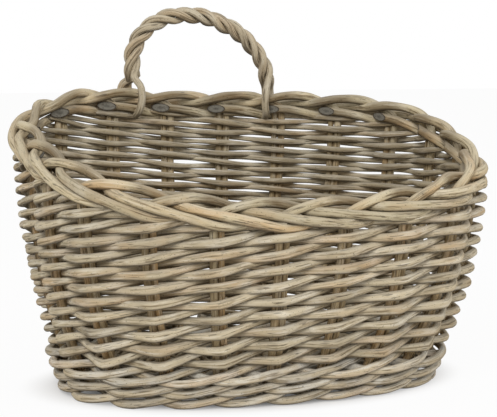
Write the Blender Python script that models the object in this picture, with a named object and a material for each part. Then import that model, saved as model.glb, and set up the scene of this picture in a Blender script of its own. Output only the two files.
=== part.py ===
# A willow wall basket with a twisted hanging loop.
# Twenty stakes rise from a stick base through two rounds of three-rod waling and French randing,
# and are worked down as a three-rod border. Metres, +Z up, +Y towards the wall, origin on the
# floor under the middle of the whole basket.
import math

import bpy
import numpy as np
from mathutils import Vector

for old in list(bpy.data.objects):
    bpy.data.objects.remove(old, do_unlink=True)

# Plan of the border, measured to the middle of its rods
rim_half_width = 0.175
rim_back_depth = 0.076
rim_front_depth = 0.160
rim_back_power = 2.3
rim_front_power = 2.9
rim_shoulder_share = 0.028

# Plan of the foot, where the stakes turn up
foot_half_width = 0.146
foot_back_depth = 0.095
foot_front_depth = 0.070
foot_back_power = 2.6
foot_front_power = 2.4
foot_setback = 0.0475

# Heights of the uppermost border rods, and how the wall bellies out between foot and rim
rim_front_height = 0.1455
rim_back_height = 0.2160
rim_rise_power = 0.56
flare_power = 2.45

# Rods
stake_count = 20
stake_diameter = 0.0062
stake_tip_diameter = 0.0054
bye_stake_diameter = 0.0056
wale_diameter = 0.0057
handle_rod_diameter = 0.0052
stick_diameter = 0.0060
base_weaver_diameter = 0.0038
rod_sides = 5
base_weaver_sides = 4

# Room between rods that touch on the real basket
clearance = 0.0003
stake_pinch_share = 0.78

# Stakes stand a little off the middle of the back, and lean round the basket as they rise
rim_start_share = -0.34
foot_start_share = -0.25

# Weave
wale_rounds = 2
wale_room_share = 1.10
wale_drop = 0.0055
rand_front_rows = 14.65
rand_back_rows = 26.66
rand_rise_power = 1.06
rand_swell_power = 1.7
rand_room_share = 1.055
rand_lift = 0.0013
stake_bow = 0.0004
weaver_tail_share = 0.17
weaver_tuck_share = 0.40
loop_room_share = 0.9
row_reach_share = 0.35

# Base
slath_half_length = 0.075
slath_half_width = 0.0185
base_weave_rounds = 4
base_edge_gap = 0.0080
base_lift_share = 1.65
base_grouped_rounds = 2
stake_insert = 0.018
foot_turn = 0.0034
foot_flat_share = 0.12

# Hanging loop
loop_left_share = 1.30
loop_right_share = -0.95
loop_rise = 0.0645
loop_lean = 0.011
loop_power = 2.15
loop_turns = 6
loop_steps_per_turn = 6
loop_parting = 0.013
loop_end_length = 0.008
loop_spread = 0.0018
loop_slack_share = 1.24
loop_beside_share = 0.62
loop_splay_share = 1.5
loop_top_share = 0.2
loop_turn_shares = (0.6, -0.1)
loop_tuck_share = 0.8
arch_samples = 400
arch_step_share = 0.004

bark = {
    "stake": (0.30, 0.22, 0.14),
    "wale": (0.36, 0.30, 0.22),
    "weaver": (0.40, 0.35, 0.28),
    "loop": (0.33, 0.26, 0.18),
    "base": (0.28, 0.22, 0.15),
}
bark_roughness = 0.75

back = 0.5 * math.pi
full_turn = 2.0 * math.pi
plan_points = 720


def plan_ring(half_width, back_depth, front_depth, back_power, front_power, shoulder_share, centre_y):
    """Closed plan curve from the middle of the back, anticlockwise from above, with its lengths."""
    angles = back + np.linspace(0.0, full_turn, plan_points + 1)
    cosine, sine = np.cos(angles), np.sin(angles)
    power = np.where(sine >= 0.0, back_power, front_power)
    depth = np.where(sine >= 0.0, back_depth, front_depth)
    swell = 1.0 - shoulder_share * np.sin(3.0 * angles)
    x = half_width * np.sign(cosine) * np.abs(cosine) ** (2.0 / power) * swell
    y = depth * np.sign(sine) * np.abs(sine) ** (2.0 / power) * swell + centre_y
    steps = np.hypot(np.diff(x), np.diff(y))
    return x, y, np.concatenate(([0.0], np.cumsum(steps)))


rim_ring = plan_ring(rim_half_width, rim_back_depth, rim_front_depth, rim_back_power, rim_front_power,
                     rim_shoulder_share, 0.0)
foot_ring = plan_ring(foot_half_width, foot_back_depth, foot_front_depth, foot_back_power,
                      foot_front_power, 0.0, -foot_setback)


def ring_point(ring, turn):
    """Point of a plan ring at a share of its whole length."""
    x, y, lengths = ring
    reach = (turn % 1.0) * lengths[-1]
    return Vector((float(np.interp(reach, lengths, x)), float(np.interp(reach, lengths, y)), 0.0))


def rim_point(place):
    """Plan point of the border at a place counted in stakes from the first one."""
    return ring_point(rim_ring, (place + rim_start_share) / stake_count)


def foot_point(place):
    return ring_point(foot_ring, (place + foot_start_share) / stake_count)


def rim_height(place):
    """Height of the uppermost border rods, which climb from the front to the back."""
    depth = (rim_point(place).y - float(rim_ring[1].min())) / float(np.ptp(rim_ring[1]))
    return rim_front_height + (rim_back_height - rim_front_height) * depth ** rim_rise_power


def wall_point(place, height):
    rise = min(max(height / rim_height(place), 0.0), 1.0)
    flare = 1.0 - (1.0 - rise) ** flare_power
    point = foot_point(place).lerp(rim_point(place), flare)
    point.z = height
    return point


half_gap_share = 0.5
lean_spans = (-1.5, -0.75, 0.0, 0.75, 1.5)
height_step = clearance


def wall_frame(place, height):
    """Directions along the wall, up it and out of it, its lean averaged over the stakes beside."""
    before, after = wall_point(place - half_gap_share, height), wall_point(place + half_gap_share, height)
    along = (after - before).normalized()
    low = max(height - 0.5 * height_step, 0.0)
    up = Vector((0.0, 0.0, 0.0))
    for beside in lean_spans:
        lean = wall_point(place + beside, low + height_step) - wall_point(place + beside, low)
        level = wall_point(place + beside + half_gap_share, low)
        level -= wall_point(place + beside - half_gap_share, low)
        outward = level.cross(Vector((0.0, 0.0, 1.0))).normalized()
        up += Vector((0.0, 0.0, lean.z)) + Vector((along.y, -along.x, 0.0)) * lean.dot(outward)
    out = along.cross(up).normalized()
    return along, out.cross(along).normalized(), out


def stake_gap(place, height):
    """Distance from stake to stake along the wall."""
    return (wall_point(place + 0.5, height) - wall_point(place - 0.5, height)).length


def spot(place, height, out=0.0, along=0.0):
    """Point off the wall surface, and beside a place by a real distance."""
    moved = place + along / stake_gap(place, height)
    return wall_point(moved, height) + wall_frame(moved, height)[2] * out


def wall_bend(place, height, side):
    """Slopes at which the wall falls away on both sides of a stake: the one that brings a rod nearer."""
    along, _, out = wall_frame(place, height)
    middle = wall_point(place, height)
    falls = []
    for beside in (-1.0, 1.0):
        way = wall_point(place + beside, height) - middle
        drop = -way.dot(out)
        falls.append(drop / abs(way.dot(along)))
    return max(falls) if side > 0.0 else -min(falls)


def reach_past(place, height, side, radius, offset):
    """How far from the wall surface a rod passes a stake so that it clears it on both sides."""
    apart = radius + 0.5 * stake_diameter + clearance
    gap = stake_gap(place, height)
    bend = wall_bend(place, height, side)
    reach = apart
    for _ in range(5):
        slope = max(2.0 * reach / gap + bend, 0.0)
        reach = apart * math.hypot(1.0, slope) + slope * offset
    return reach if side > 0.0 else reach + stake_bow


# The base sticks lie at this height, so that the weave under them stands on the floor
base_lift = (0.5 * (stick_diameter + base_weaver_diameter) + clearance) * base_lift_share
base_level = base_lift + 0.5 * base_weaver_diameter * (1.0 - 2.0 * foot_flat_share)

# A stake stands left of its place and its bye-stake right of it, pressed together
pair_offset = 0.25 * (stake_diameter + bye_stake_diameter) * stake_pinch_share


def material(name, kind):
    made = bpy.data.materials.get(name)
    if made:
        return made
    made = bpy.data.materials.new(name)
    made.use_nodes = True
    shader = made.node_tree.nodes["Principled BSDF"]
    shader.inputs["Base Color"].default_value = (*bark[kind], 1.0)
    shader.inputs["Roughness"].default_value = bark_roughness
    shader.inputs["Metallic"].default_value = 0.0
    return made


def rod_mesh(name, path, outs, radii, sides):
    """Closed rod along a path, each ring with one corner turned to its outward direction."""
    rings, verts, faces = len(path), [], []
    for index in range(rings):
        ahead = (path[min(index + 1, rings - 1)] - path[index]).normalized() if index < rings - 1 else None
        behind = (path[index] - path[index - 1]).normalized() if index else None
        tangent = ((ahead or behind) + (behind or ahead)).normalized()
        out = (outs[index] - tangent * outs[index].dot(tangent)).normalized()
        side = tangent.cross(out)
        for corner in range(sides):
            angle = full_turn * corner / sides
            verts.append(path[index] + (out * math.cos(angle) + side * math.sin(angle)) * radii[index])
    for index in range(rings - 1):
        low, high = index * sides, (index + 1) * sides
        for corner in range(sides):
            after = (corner + 1) % sides
            faces.append((low + corner, low + after, high + after, high + corner))
    faces.append(tuple(reversed(range(sides))))
    faces.append(tuple(range((rings - 1) * sides, rings * sides)))
    mesh = bpy.data.meshes.new(name)
    mesh.from_pydata([tuple(vert) for vert in verts], [], faces)
    return mesh


def add_piece(name, mesh, kind):
    piece = bpy.data.objects.new(name, mesh)
    mesh.materials.append(material(kind + "_willow", kind))
    bpy.context.scene.collection.objects.link(piece)
    piece.parent = basket
    return piece


def add_rod(name, points, diameter, kind, tip_diameter=None, sides=rod_sides):
    """Rod from a list of (point, outward direction), tapering evenly if a tip is given."""
    tip = diameter if tip_diameter is None else tip_diameter
    shares = np.linspace(0.0, 1.0, len(points))
    radii = [0.5 * (diameter + (tip - diameter) * share) for share in shares]
    mesh = rod_mesh(name, [point for point, _ in points], [out for _, out in points], radii, sides)
    return add_piece(name, mesh, kind)


def cutter(piece):
    piece.hide_render = True
    piece.display_type = "WIRE"
    return piece


def combine(target, tool, operation):
    step = target.modifiers.new(tool.name + "_" + operation.lower(), "BOOLEAN")
    step.operation = operation
    step.solver = "EXACT"
    step.object = tool


def wall_spot(place, height, out=0.0, along=0.0):
    """A path point of a wall rod with the direction its outer corner faces."""
    return spot(place, height, out, along), wall_frame(place, height)[2]


# Border: each stake goes behind one, before two and behind one, sloping down as it goes.
# Every entry is a place past the stake, a sideways reach as a share and a drop in rod spacings.
border_spacing = stake_diameter + clearance
border_route_shares = (
    (0.20, -0.15, 0.00),
    (0.45, -0.60, 0.25),
    (0.88, -1.00, 0.68),
    (1.08, -1.00, 0.88),
    (1.45, 0.00, 1.25),
    (1.90, 1.00, 1.70),
    (2.45, 1.06, 2.25),
    (2.94, 1.00, 2.74),
    (3.16, 0.72, 2.96),
    (3.45, 0.00, 2.55),
    (3.90, -1.00, 2.12),
    (4.15, -1.05, 2.12),
)
border_depth_share = 2.96
rim_slope_share = 0.1
border_bend_shares = ((0.0, 1.15), (0.05, 0.42))
stake_level_shares = (0.12, 0.26, 0.42, 0.60, 0.80)
bye_level_shares = (0.04, 0.12, 0.26, 0.42, 0.60, 0.80, 0.86)


def border_height(place, drop):
    """Height a number of rod spacings under the top of the border, wider where the rim is steep."""
    rise = rim_height(place + rim_slope_share) - rim_height(place - rim_slope_share)
    slope = rise / (2.0 * rim_slope_share * stake_gap(place, rim_front_height))
    return rim_height(place) - drop * border_spacing * math.hypot(1.0, slope)


def border_reach(place):
    height = rim_height(place)
    return reach_past(place, height, 1.0, 0.5 * stake_diameter, 0.0)


def stake_level(place, share):
    """Height at a share of the upright stretch between the turn at the foot and the border."""
    knee = base_level + foot_turn
    return knee + (border_height(place, border_bend_shares[0][1]) - knee) * share


def stake_points(place):
    """Stake from inside the base, up the wall and along its border route."""
    up = Vector((0.0, 0.0, 1.0))
    end, inward, side = stick_line(place)
    beside = side * -(0.5 * (stick_diameter + stake_diameter) + clearance)
    turned = spot(place, base_level, 0.0, -pair_offset) + inward * foot_turn
    points = [(end + inward * stake_insert + beside, -up), (turned, -up - inward)]
    knee = base_level + foot_turn
    points.append((spot(place, knee, 0.0, -pair_offset), -inward))
    for level in stake_level_shares:
        points.append(wall_spot(place, stake_level(place, level), 0.0, -pair_offset))
    start = place - pair_offset / stake_gap(place, rim_height(place))
    for share, drop in border_bend_shares:
        points.append(wall_spot(start + share, border_height(start + share, drop)))
    for share, side, drop in border_route_shares:
        there = start + share
        points.append(wall_spot(there, border_height(there, drop), side * border_reach(there)))
    return points


def bye_stake_points(place):
    spots = [wall_spot(place, stake_level(place, level), 0.0, pair_offset) for level in bye_level_shares]
    return [(point, -outward) for point, outward in spots]


def add_stakes():
    for index in range(stake_count):
        stake = add_rod(f"stake_{index + 1:02d}", stake_points(index), stake_diameter, "stake",
                        stake_tip_diameter)
        bye = cutter(add_rod(f"bye_stake_{index + 1:02d}", bye_stake_points(index), bye_stake_diameter,
                             "stake"))
        combine(stake, bye, "UNION")


# Three-rod wale: behind one stake and before two, rising a rod at each stake on the outside.
# Every entry is a place in stakes, a side and a height in rod spacings.
wale_spacing = (wale_diameter + clearance) * wale_room_share
wale_stroke_shares = ((0.0, -1.0, 0.0), (0.5, -0.15, 0.4), (1.0, 1.0, 0.5), (2.0, 1.0, 1.5), (2.5, 0.0, 1.47))
wale_inside_rises = (2.10, 1.10)
wale_rods = 3
wale_round_rise = 2.1
wale_start_share = 0.08
wale_end_shares = (20.6, 20.6, 17.7)


def wale_height(rise):
    return base_level - wale_drop + rise * wale_spacing


def wale_points(rod, level):
    points = []
    stroke = 0
    while True:
        for share, side, rise in wale_stroke_shares:
            place = max(wale_rods * stroke + share, wale_start_share)
            if place > wale_end_shares[rod]:
                return points
            if share == 0.0:
                rise = wale_inside_rises[level]
            height = wale_height(level * wale_round_rise + rise)
            there = rod + place
            reach = reach_past(there, height, side, 0.5 * wale_diameter, pair_offset) if side else 0.0
            points.append(wall_spot(there, height, side * reach))
        stroke += 1


def add_wales():
    for level in range(wale_rounds):
        for rod in range(wale_rods):
            add_rod(f"wale_{level + 1}_rod_{rod + 1}", wale_points(rod, level), wale_diameter, "wale")


# French randing: the weavers cross halfway between the stakes, one on another. Their rows are
# counted in half pitches, fewer under the low front of the border than under the high back.
def rand_rows(place):
    share = 0.5 + 0.5 * math.cos(full_turn * (place + rim_start_share) / stake_count)
    swell = 1.0 - (1.0 - share ** rand_rise_power) ** rand_swell_power
    return rand_front_rows + (rand_back_rows - rand_front_rows) * swell


def rand_room(place):
    """Height between the waling and the border's lowest rod at a place."""
    wale_top = wale_height(wale_round_rise * wale_rounds - 0.5) + 0.5 * wale_diameter
    border_foot = border_height(place, border_depth_share) - 0.5 * stake_diameter
    return border_foot - wale_top - rand_lift - clearance


def weaver_thickness():
    """Thickness at which the rows fill the wall where they are tightest."""
    sizes = []
    for place in range(stake_count):
        rows = rand_rows(place) * rand_room_share
        sizes.append((rand_room(place) - clearance * rows) / (rows + 1.0))
    return min(sizes)


weaver_diameter = weaver_thickness()


def rand_height(place, step):
    """Height of a weaver at a place, a number of half pitches above the lowest crossing."""
    wale_top = wale_height(wale_round_rise * wale_rounds - 0.5)
    lowest = wale_top + 0.5 * (wale_diameter + weaver_diameter) + rand_lift
    return lowest + (rand_room(place) - weaver_diameter) * (step + 0.5) / rand_rows(place)


def row_limit(place):
    """Rows for a weaver at a place, one fewer where the ends of the loop pass under the border."""
    turned = (place + rim_start_share + 0.5 * stake_count) % stake_count - 0.5 * stake_count
    near_loop = loop_right_share - loop_room_share < turned < loop_left_share + loop_room_share
    return rand_rows(place) - (1.0 if near_loop else 0.0)


def weaver_runs(first):
    """Runs of steps in which the weaver that starts at this stake stays under the border."""
    runs, run = [], []
    for step in range(-1, 2 * stake_count):
        there = first + step
        fits = step + 0.5 <= min(row_limit(there + near) for near in (-row_reach_share, 0.0, row_reach_share))
        crosses = not run or step <= row_limit(there - 0.5)
        if fits and crosses:
            run.append(step)
        elif run:
            runs.append(run)
            run = []
    return [run for run in runs if len(run) > 2]


def weaver_points(first, run):
    """One weaver: before a stake, behind the next, half a pitch higher at each."""
    def pass_stake(step):
        side = 1.0 if step % 2 == 0 else -1.0
        height = rand_height(first + step, step)
        return side * reach_past(first + step, height, side, 0.5 * weaver_diameter, pair_offset)

    def tail(step, onward):
        reach = pass_stake(step)
        inside = step % 2 == 1
        share = weaver_tail_share if inside else weaver_tuck_share
        moved = step + share * onward
        height = rand_height(first + moved, moved)
        return wall_spot(first + moved, height, reach if inside else reach * (1.0 - 2.0 * share))

    points = [tail(run[0], -1.0)]
    points += [wall_spot(first + step, rand_height(first + step, step), pass_stake(step)) for step in run]
    points.append(tail(run[-1], 1.0))
    return points


def add_weavers():
    number = 0
    for first in range(stake_count):
        for run in weaver_runs(first):
            number += 1
            add_rod(f"rand_weaver_{number:02d}", weaver_points(first, run), weaver_diameter, "weaver")


# Base: seven short sticks crossed by three long ones, fanned out to the stakes
cross_sticks = 7
long_sticks = 3
side_places = (stake_count - 2 * cross_sticks) // 2
foot_middle = -foot_setback + 0.5 * (foot_back_depth - foot_front_depth)
foot_half_depth = 0.5 * (foot_back_depth + foot_front_depth)


def slath_anchor(place):
    """Where the stick that ends at a place leaves the crossing of the sticks."""
    foot = foot_point(place)
    x = foot.x * slath_half_length / foot_half_width
    y = (foot.y - foot_middle) * slath_half_width / foot_half_depth
    return Vector((x, y + foot_middle, 0.0))


def stick_line(place):
    """End of a base stick beside its stake, the way inwards along it and the way aside."""
    foot = foot_point(place)
    inward = (slath_anchor(place) - foot).normalized()
    side = Vector((inward.y, -inward.x, 0.0))
    beside = 0.5 * (stick_diameter + stake_diameter) + clearance - pair_offset
    end = raised(foot + inward * (stick_diameter + foot_turn) + side * beside, base_level)
    anchor = raised(slath_anchor(place), base_level)
    inward = (anchor - end).normalized()
    return end, inward, Vector((inward.y, -inward.x, 0.0))


def raised(point, height):
    return Vector((point.x, point.y, height))


def stick_points(start, end):
    up = Vector((0.0, 0.0, 1.0))
    plan = [stick_line(start)[0], slath_anchor(start), slath_anchor(end), stick_line(end)[0]]
    return [(raised(point, base_level), up) for point in plan]


def add_slath():
    half = cross_sticks // 2
    pairs = [(place, stake_count // 2 - place) for place in range(-half, half + 1)]
    pairs += [(half + 1 + row, stake_count - half - 1 - row) for row in range(long_sticks)]
    base = None
    for number, (start, end) in enumerate(pairs):
        stick = add_rod(f"base_stick_{number + 1:02d}", stick_points(start, end), stick_diameter, "base")
        if base is None:
            base = stick
            base.name = "base_slath"
        else:
            combine(base, cutter(stick), "UNION")
    return base


def base_weave_point(place, share, lift):
    anchor = slath_anchor(place)
    foot = foot_point(place)
    inward = (anchor - foot).normalized()
    edge = foot + inward * base_edge_gap
    start = anchor + (foot - anchor).normalized() * base_weaver_diameter
    return raised(start.lerp(edge, share), base_level + lift)


def base_weave_points(strand):
    """One of two weavers that chase each other outwards over and under the sticks."""
    up = Vector((0.0, 0.0, 1.0))
    steps = base_weave_rounds * stake_count
    points = []
    for step in range(steps + 1):
        share = (2.0 * step / stake_count + strand) / (2.0 * base_weave_rounds + 1.0)
        middle_stick = step % (stake_count // 2) == stake_count // 4
        together = middle_stick and step < base_grouped_rounds * stake_count
        over = (step + strand + (1 if together else 0)) % 2 == 0
        lift = base_lift if over else -base_lift
        points.append((base_weave_point(step, share, lift), up))
    return points


def add_base_weave(floor_cutter):
    for strand in range(2):
        weave = add_rod(f"base_weaver_{strand + 1}", base_weave_points(strand), base_weaver_diameter, "base",
                        sides=base_weaver_sides)
        combine(weave, floor_cutter, "DIFFERENCE")


def add_floor_cutter():
    """Block under the floor, which flattens the base weave where the basket stands on it."""
    mesh = bpy.data.meshes.new("floor_block")
    wide, deep = rim_half_width, rim_front_depth
    corners = [(x, y, z) for x in (-wide, wide) for y in (-2.0 * deep, deep) for z in (-deep, 0.0)]
    faces = [(0, 1, 3, 2), (4, 6, 7, 5), (0, 4, 5, 1), (2, 3, 7, 6), (0, 2, 6, 4), (1, 5, 7, 3)]
    mesh.from_pydata(corners, [], faces)
    return cutter(add_piece("floor_block", mesh, "base"))


# Hanging loop: three rods twisted together, parting at the border
strand_count = 3
strand_offset = (handle_rod_diameter + clearance) / math.sqrt(3.0) * loop_slack_share


def loop_place(share):
    return share - rim_start_share


def loop_leg(share, height, out=0.0, along=0.0):
    """Point of a leg over, in or behind the border."""
    place = loop_place(share)
    tangent, _, outward = wall_frame(place, rim_height(place))
    point = raised(rim_point(place), height) + outward * out + tangent * along
    return point


def loop_axis(share):
    """Middle line of the twisted arch, from the left leg to the right one."""
    left = loop_leg(loop_left_share, rim_height(loop_place(loop_left_share)) + loop_parting)
    right = loop_leg(loop_right_share, rim_height(loop_place(loop_right_share)) + loop_parting)
    angle = math.pi * (1.0 - share)
    across = math.copysign(abs(math.cos(angle)) ** (2.0 / loop_power), math.cos(angle))
    rise = math.sin(angle) ** (2.0 / loop_power)
    middle = (left + right) * 0.5 + (right - left) * 0.5 * across
    middle.z += (loop_rise - loop_parting) * rise
    middle.x -= loop_lean * rise
    return middle


def strand_arch(strand):
    """Helix of one rod round the arch, evenly stepped along it."""
    line = [loop_axis(index / arch_samples) for index in range(arch_samples + 1)]
    lengths = np.concatenate(([0.0], np.cumsum([(b - a).length for a, b in zip(line, line[1:])])))
    steps = loop_turns * loop_steps_per_turn
    points = []
    for step in range(steps + 1):
        share = step / steps
        where = float(np.interp(share * lengths[-1], lengths, np.arange(arch_samples + 1))) / arch_samples
        centre = loop_axis(where)
        ahead = loop_axis(min(where + arch_step_share, 1.0)) - loop_axis(max(where - arch_step_share, 0.0))
        ahead = ahead.normalized()
        outward = wall_frame(0.5, rim_back_height)[2]
        outward = (outward - ahead * outward.dot(ahead)).normalized()
        side = ahead.cross(outward)
        angle = full_turn * (loop_turns * share + strand / strand_count) + math.pi
        radial = outward * math.cos(angle) + side * math.sin(angle)
        points.append((centre + radial * strand_offset, radial))
    return points


def leg_points(share, strand, mirrored):
    """A rod's way from the parting, past the border and under it, listed downwards."""
    place = loop_place(share)
    side = -1.0 if strand == 0 else 1.0
    width = handle_rod_diameter + clearance
    order = {0: 0.0, 1: 1.0, 2: -1.0}[strand]
    along = order * (width * loop_beside_share + loop_spread) * (1.0 if mirrored else -1.0)
    past = border_reach(place) + 0.5 * (stake_tip_diameter + handle_rod_diameter) + clearance
    top = rim_height(place)
    under = border_height(place, border_depth_share) - 0.5 * (stake_diameter + handle_rod_diameter) - clearance
    spread = along * loop_splay_share
    tangent, _, outward = wall_frame(place, top)
    facing = outward * side
    down = Vector((0.0, 0.0, -1.0))
    bend, low = loop_turn_shares
    inner = past - loop_tuck_share * width
    return [
        (loop_leg(share, top + loop_top_share * loop_parting, side * past, spread), facing),
        (loop_leg(share, under + bend * width, side * past, spread), facing),
        (loop_leg(share, under + low * width, side * inner, spread), facing + down),
        (loop_leg(share, under + low * width, -side * loop_end_length, spread), down),
    ]


def add_loop():
    for strand in range(strand_count):
        left = list(reversed(leg_points(loop_left_share, strand, False)))
        right = leg_points(loop_right_share, strand, True)
        points = left + strand_arch(strand) + right
        add_rod(f"loop_rod_{strand + 1}", points, handle_rod_diameter, "loop")


def centre_basket():
    """Move the basket so that its box stands centred over the origin."""
    bpy.context.view_layer.update()
    corners = [piece.matrix_world @ Vector(corner) for piece in basket.children
               if not piece.hide_render for corner in piece.bound_box]
    low = [min(corner[axis] for corner in corners) for axis in range(2)]
    high = [max(corner[axis] for corner in corners) for axis in range(2)]
    basket.location = (-0.5 * (low[0] + high[0]), -0.5 * (low[1] + high[1]), 0.0)


basket = bpy.data.objects.new("basket", None)
bpy.context.scene.collection.objects.link(basket)
add_stakes()
add_wales()
add_weavers()
add_slath()
add_base_weave(add_floor_cutter())
add_loop()
centre_basket()
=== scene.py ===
# A willow wall basket with a twisted hanging loop. Every rod is drawn along its own way
# through the weave, and Geometry Nodes turn each way into a tapered, slightly uneven rod.
import math

import bpy
import numpy as np
from mathutils import Matrix, Vector


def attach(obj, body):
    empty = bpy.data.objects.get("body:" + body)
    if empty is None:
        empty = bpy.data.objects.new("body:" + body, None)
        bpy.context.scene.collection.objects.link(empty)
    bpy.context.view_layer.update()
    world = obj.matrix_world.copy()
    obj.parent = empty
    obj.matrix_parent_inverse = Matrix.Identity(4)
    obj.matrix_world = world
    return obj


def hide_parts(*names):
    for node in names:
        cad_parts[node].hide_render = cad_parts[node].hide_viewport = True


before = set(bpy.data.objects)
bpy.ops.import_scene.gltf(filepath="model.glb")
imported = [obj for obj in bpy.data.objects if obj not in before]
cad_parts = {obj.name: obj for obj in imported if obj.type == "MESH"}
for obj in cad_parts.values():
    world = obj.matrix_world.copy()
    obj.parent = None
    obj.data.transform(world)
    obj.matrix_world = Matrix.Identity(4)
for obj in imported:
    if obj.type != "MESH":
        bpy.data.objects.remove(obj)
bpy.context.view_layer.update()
print("frame loaded:", len(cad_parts), "nodes")

scene = bpy.context.scene
scene.view_settings.view_transform = "Standard"
fullTurn = 2.0 * math.pi

# the camera stands where the photograph was taken from
cameraView = {
    "azimuth": -19.82, "elevation": 8.00, "roll": 0.90,  # degrees
    "distance": 1.371, "aim": (0.0129, 0.0368, 0.1286),  # metres
    "focalPixels": 1709.65, "imageWidth": 497, "sensor": 36.0,
}


def makeCamera(view):
    azimuth, elevation, roll = (math.radians(view[key]) for key in ("azimuth", "elevation", "roll"))
    back = Vector((math.sin(azimuth) * math.cos(elevation), -math.cos(azimuth) * math.cos(elevation),
                   math.sin(elevation)))
    right = (-back).cross(Vector((0, 0, 1))).normalized()
    up = right.cross(-back)
    turnedRight = right * math.cos(roll) + up * math.sin(roll)
    turnedUp = up * math.cos(roll) - right * math.sin(roll)
    data = bpy.data.cameras.new("camera")
    data.sensor_width = view["sensor"]
    data.lens = view["focalPixels"] / view["imageWidth"] * view["sensor"]
    camera = bpy.data.objects.new("camera", data)
    scene.collection.objects.link(camera)
    place = Vector(view["aim"]) + back * view["distance"]
    turned = Matrix((turnedRight, turnedUp, back)).transposed().to_4x4()
    camera.matrix_world = Matrix.Translation(place) @ turned
    scene.camera = camera


makeCamera(cameraView)


# A socket is given a value, another node's socket, or a node, whose first output is then linked
def addNode(tree, kind, sockets=None, **settings):
    node = tree.nodes.new(kind)
    for name, value in settings.items():
        setattr(node, name, value)
    for name, value in (sockets or {}).items():
        if isinstance(value, bpy.types.Node):
            value = value.outputs[0]
        if isinstance(value, bpy.types.NodeSocket):
            tree.links.new(value, node.inputs[name])
        else:
            node.inputs[name].default_value = value
    return node


# the linear colour of a hex code, by the sRGB curve
def linear(code):
    parts = [int(code[start:start + 2], 16) / 255.0 for start in (1, 3, 5)]
    mixed = [part / 12.92 if part <= 0.04045 else ((part + 0.055) / 1.055) ** 2.4 for part in parts]
    return (*mixed, 1.0)


# The basket's shape: plan of the border and of the foot, and how the wall bellies out between them.
# Places are counted in stakes, anticlockwise from above, from the middle of the back.
shift = (-0.000032, 0.036807)  # puts the whole basket's box over the origin
rim = {
    "halfWidth": 0.1693, "backDepth": 0.0775, "frontDepth": 0.1587, "backPower": 2.6, "frontPower": 3.3,
    "shoulder": 0.0213, "setback": 0.0, "start": -0.34,
}
foot = {
    "halfWidth": 0.1342, "backDepth": 0.0963, "frontDepth": 0.0663, "backPower": 2.6, "frontPower": 2.25,
    "shoulder": 0.0, "setback": 0.0475, "start": -0.25,
}
wall = {
    "stakes": 20, "frontHeight": 0.1563, "backHeight": 0.2160, "risePower": 0.57, "flarePower": 2.25,
    "planSteps": 720, "leanSpan": 0.0003, "leanOver": (-1.5, -0.75, 0.0, 0.75, 1.5), "reachTries": 5,
    # where the rim is uneven, and by how much
    "lifts": ((2.6, 0.0062), (4.9, -0.0045)), "liftSharpness": 12.0,
}


def planRing(plan):
    angles = 0.5 * math.pi + np.linspace(0.0, fullTurn, wall["planSteps"] + 1)
    cosine, sine = np.cos(angles), np.sin(angles)
    power = np.where(sine >= 0.0, plan["backPower"], plan["frontPower"])
    depth = np.where(sine >= 0.0, plan["backDepth"], plan["frontDepth"])
    swell = 1.0 - plan["shoulder"] * np.sin(3.0 * angles)
    x = plan["halfWidth"] * np.sign(cosine) * np.abs(cosine) ** (2.0 / power) * swell + shift[0]
    y = depth * np.sign(sine) * np.abs(sine) ** (2.0 / power) * swell - plan["setback"] + shift[1]
    lengths = np.concatenate(([0.0], np.cumsum(np.hypot(np.diff(x), np.diff(y)))))
    return x, y, lengths / lengths[-1]


rimRing, footRing = planRing(rim), planRing(foot)


def ringAt(ring, place, start):
    turn = ((np.asarray(place, float) + start) / wall["stakes"]) % 1.0
    return np.stack([np.interp(turn, ring[2], ring[0]), np.interp(turn, ring[2], ring[1])], axis=-1)


def rimHeight(place):
    y = ringAt(rimRing, place, rim["start"])[..., 1]
    depth = np.clip((y - rimRing[1].min()) / np.ptp(rimRing[1]), 0.0, 1.0)
    height = wall["frontHeight"] + (wall["backHeight"] - wall["frontHeight"]) * depth ** wall["risePower"]
    for where, lift in wall["lifts"]:
        past = np.cos(fullTurn * (np.asarray(place, float) - where) / wall["stakes"]) - 1.0
        height = height + lift * np.exp(wall["liftSharpness"] * past)
    return height


def wallPoint(place, height):
    place, height = np.broadcast_arrays(np.asarray(place, float), np.asarray(height, float))
    rise = np.clip(height / rimHeight(place), 0.0, 1.0)
    flare = (1.0 - (1.0 - rise) ** wall["flarePower"])[..., None]
    low, high = ringAt(footRing, place, foot["start"]), ringAt(rimRing, place, rim["start"])
    return np.concatenate([low + (high - low) * flare, height[..., None]], axis=-1)


def unit(vectors):
    return vectors / np.maximum(np.linalg.norm(vectors, axis=-1, keepdims=True), 1e-9)


# the ways along the wall and out of it, its lean averaged over the stakes beside
def wallFrame(place, height):
    place, height = np.broadcast_arrays(np.asarray(place, float), np.asarray(height, float))
    upright = np.array([0.0, 0.0, 1.0])
    along = unit(wallPoint(place + 0.5, height) - wallPoint(place - 0.5, height))
    flatOut = np.stack([along[..., 1], -along[..., 0], np.zeros_like(place)], axis=-1)
    low = np.maximum(height - 0.5 * wall["leanSpan"], 0.0)
    up = np.zeros_like(along)
    for beside in wall["leanOver"]:
        lean = wallPoint(place + beside, low + wall["leanSpan"]) - wallPoint(place + beside, low)
        level = wallPoint(place + beside + 0.5, low) - wallPoint(place + beside - 0.5, low)
        outward = unit(np.cross(level, upright))
        up += lean[..., 2:] * upright + flatOut * (lean * outward).sum(-1, keepdims=True)
    return along, unit(np.cross(along, up))


def stakeGap(place, height):
    return np.linalg.norm(wallPoint(place + 0.5, height) - wallPoint(place - 0.5, height), axis=-1)


# a point off the wall's middle: out of it, and aside along it by a real distance
def onWall(place, height, out=0.0, aside=0.0):
    place, height = np.broadcast_arrays(np.asarray(place, float), np.asarray(height, float))
    moved = place + aside / stakeGap(place, height)
    out = np.broadcast_to(out, moved.shape)[..., None]
    return wallPoint(moved, height) + wallFrame(moved, height)[1] * out


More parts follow.
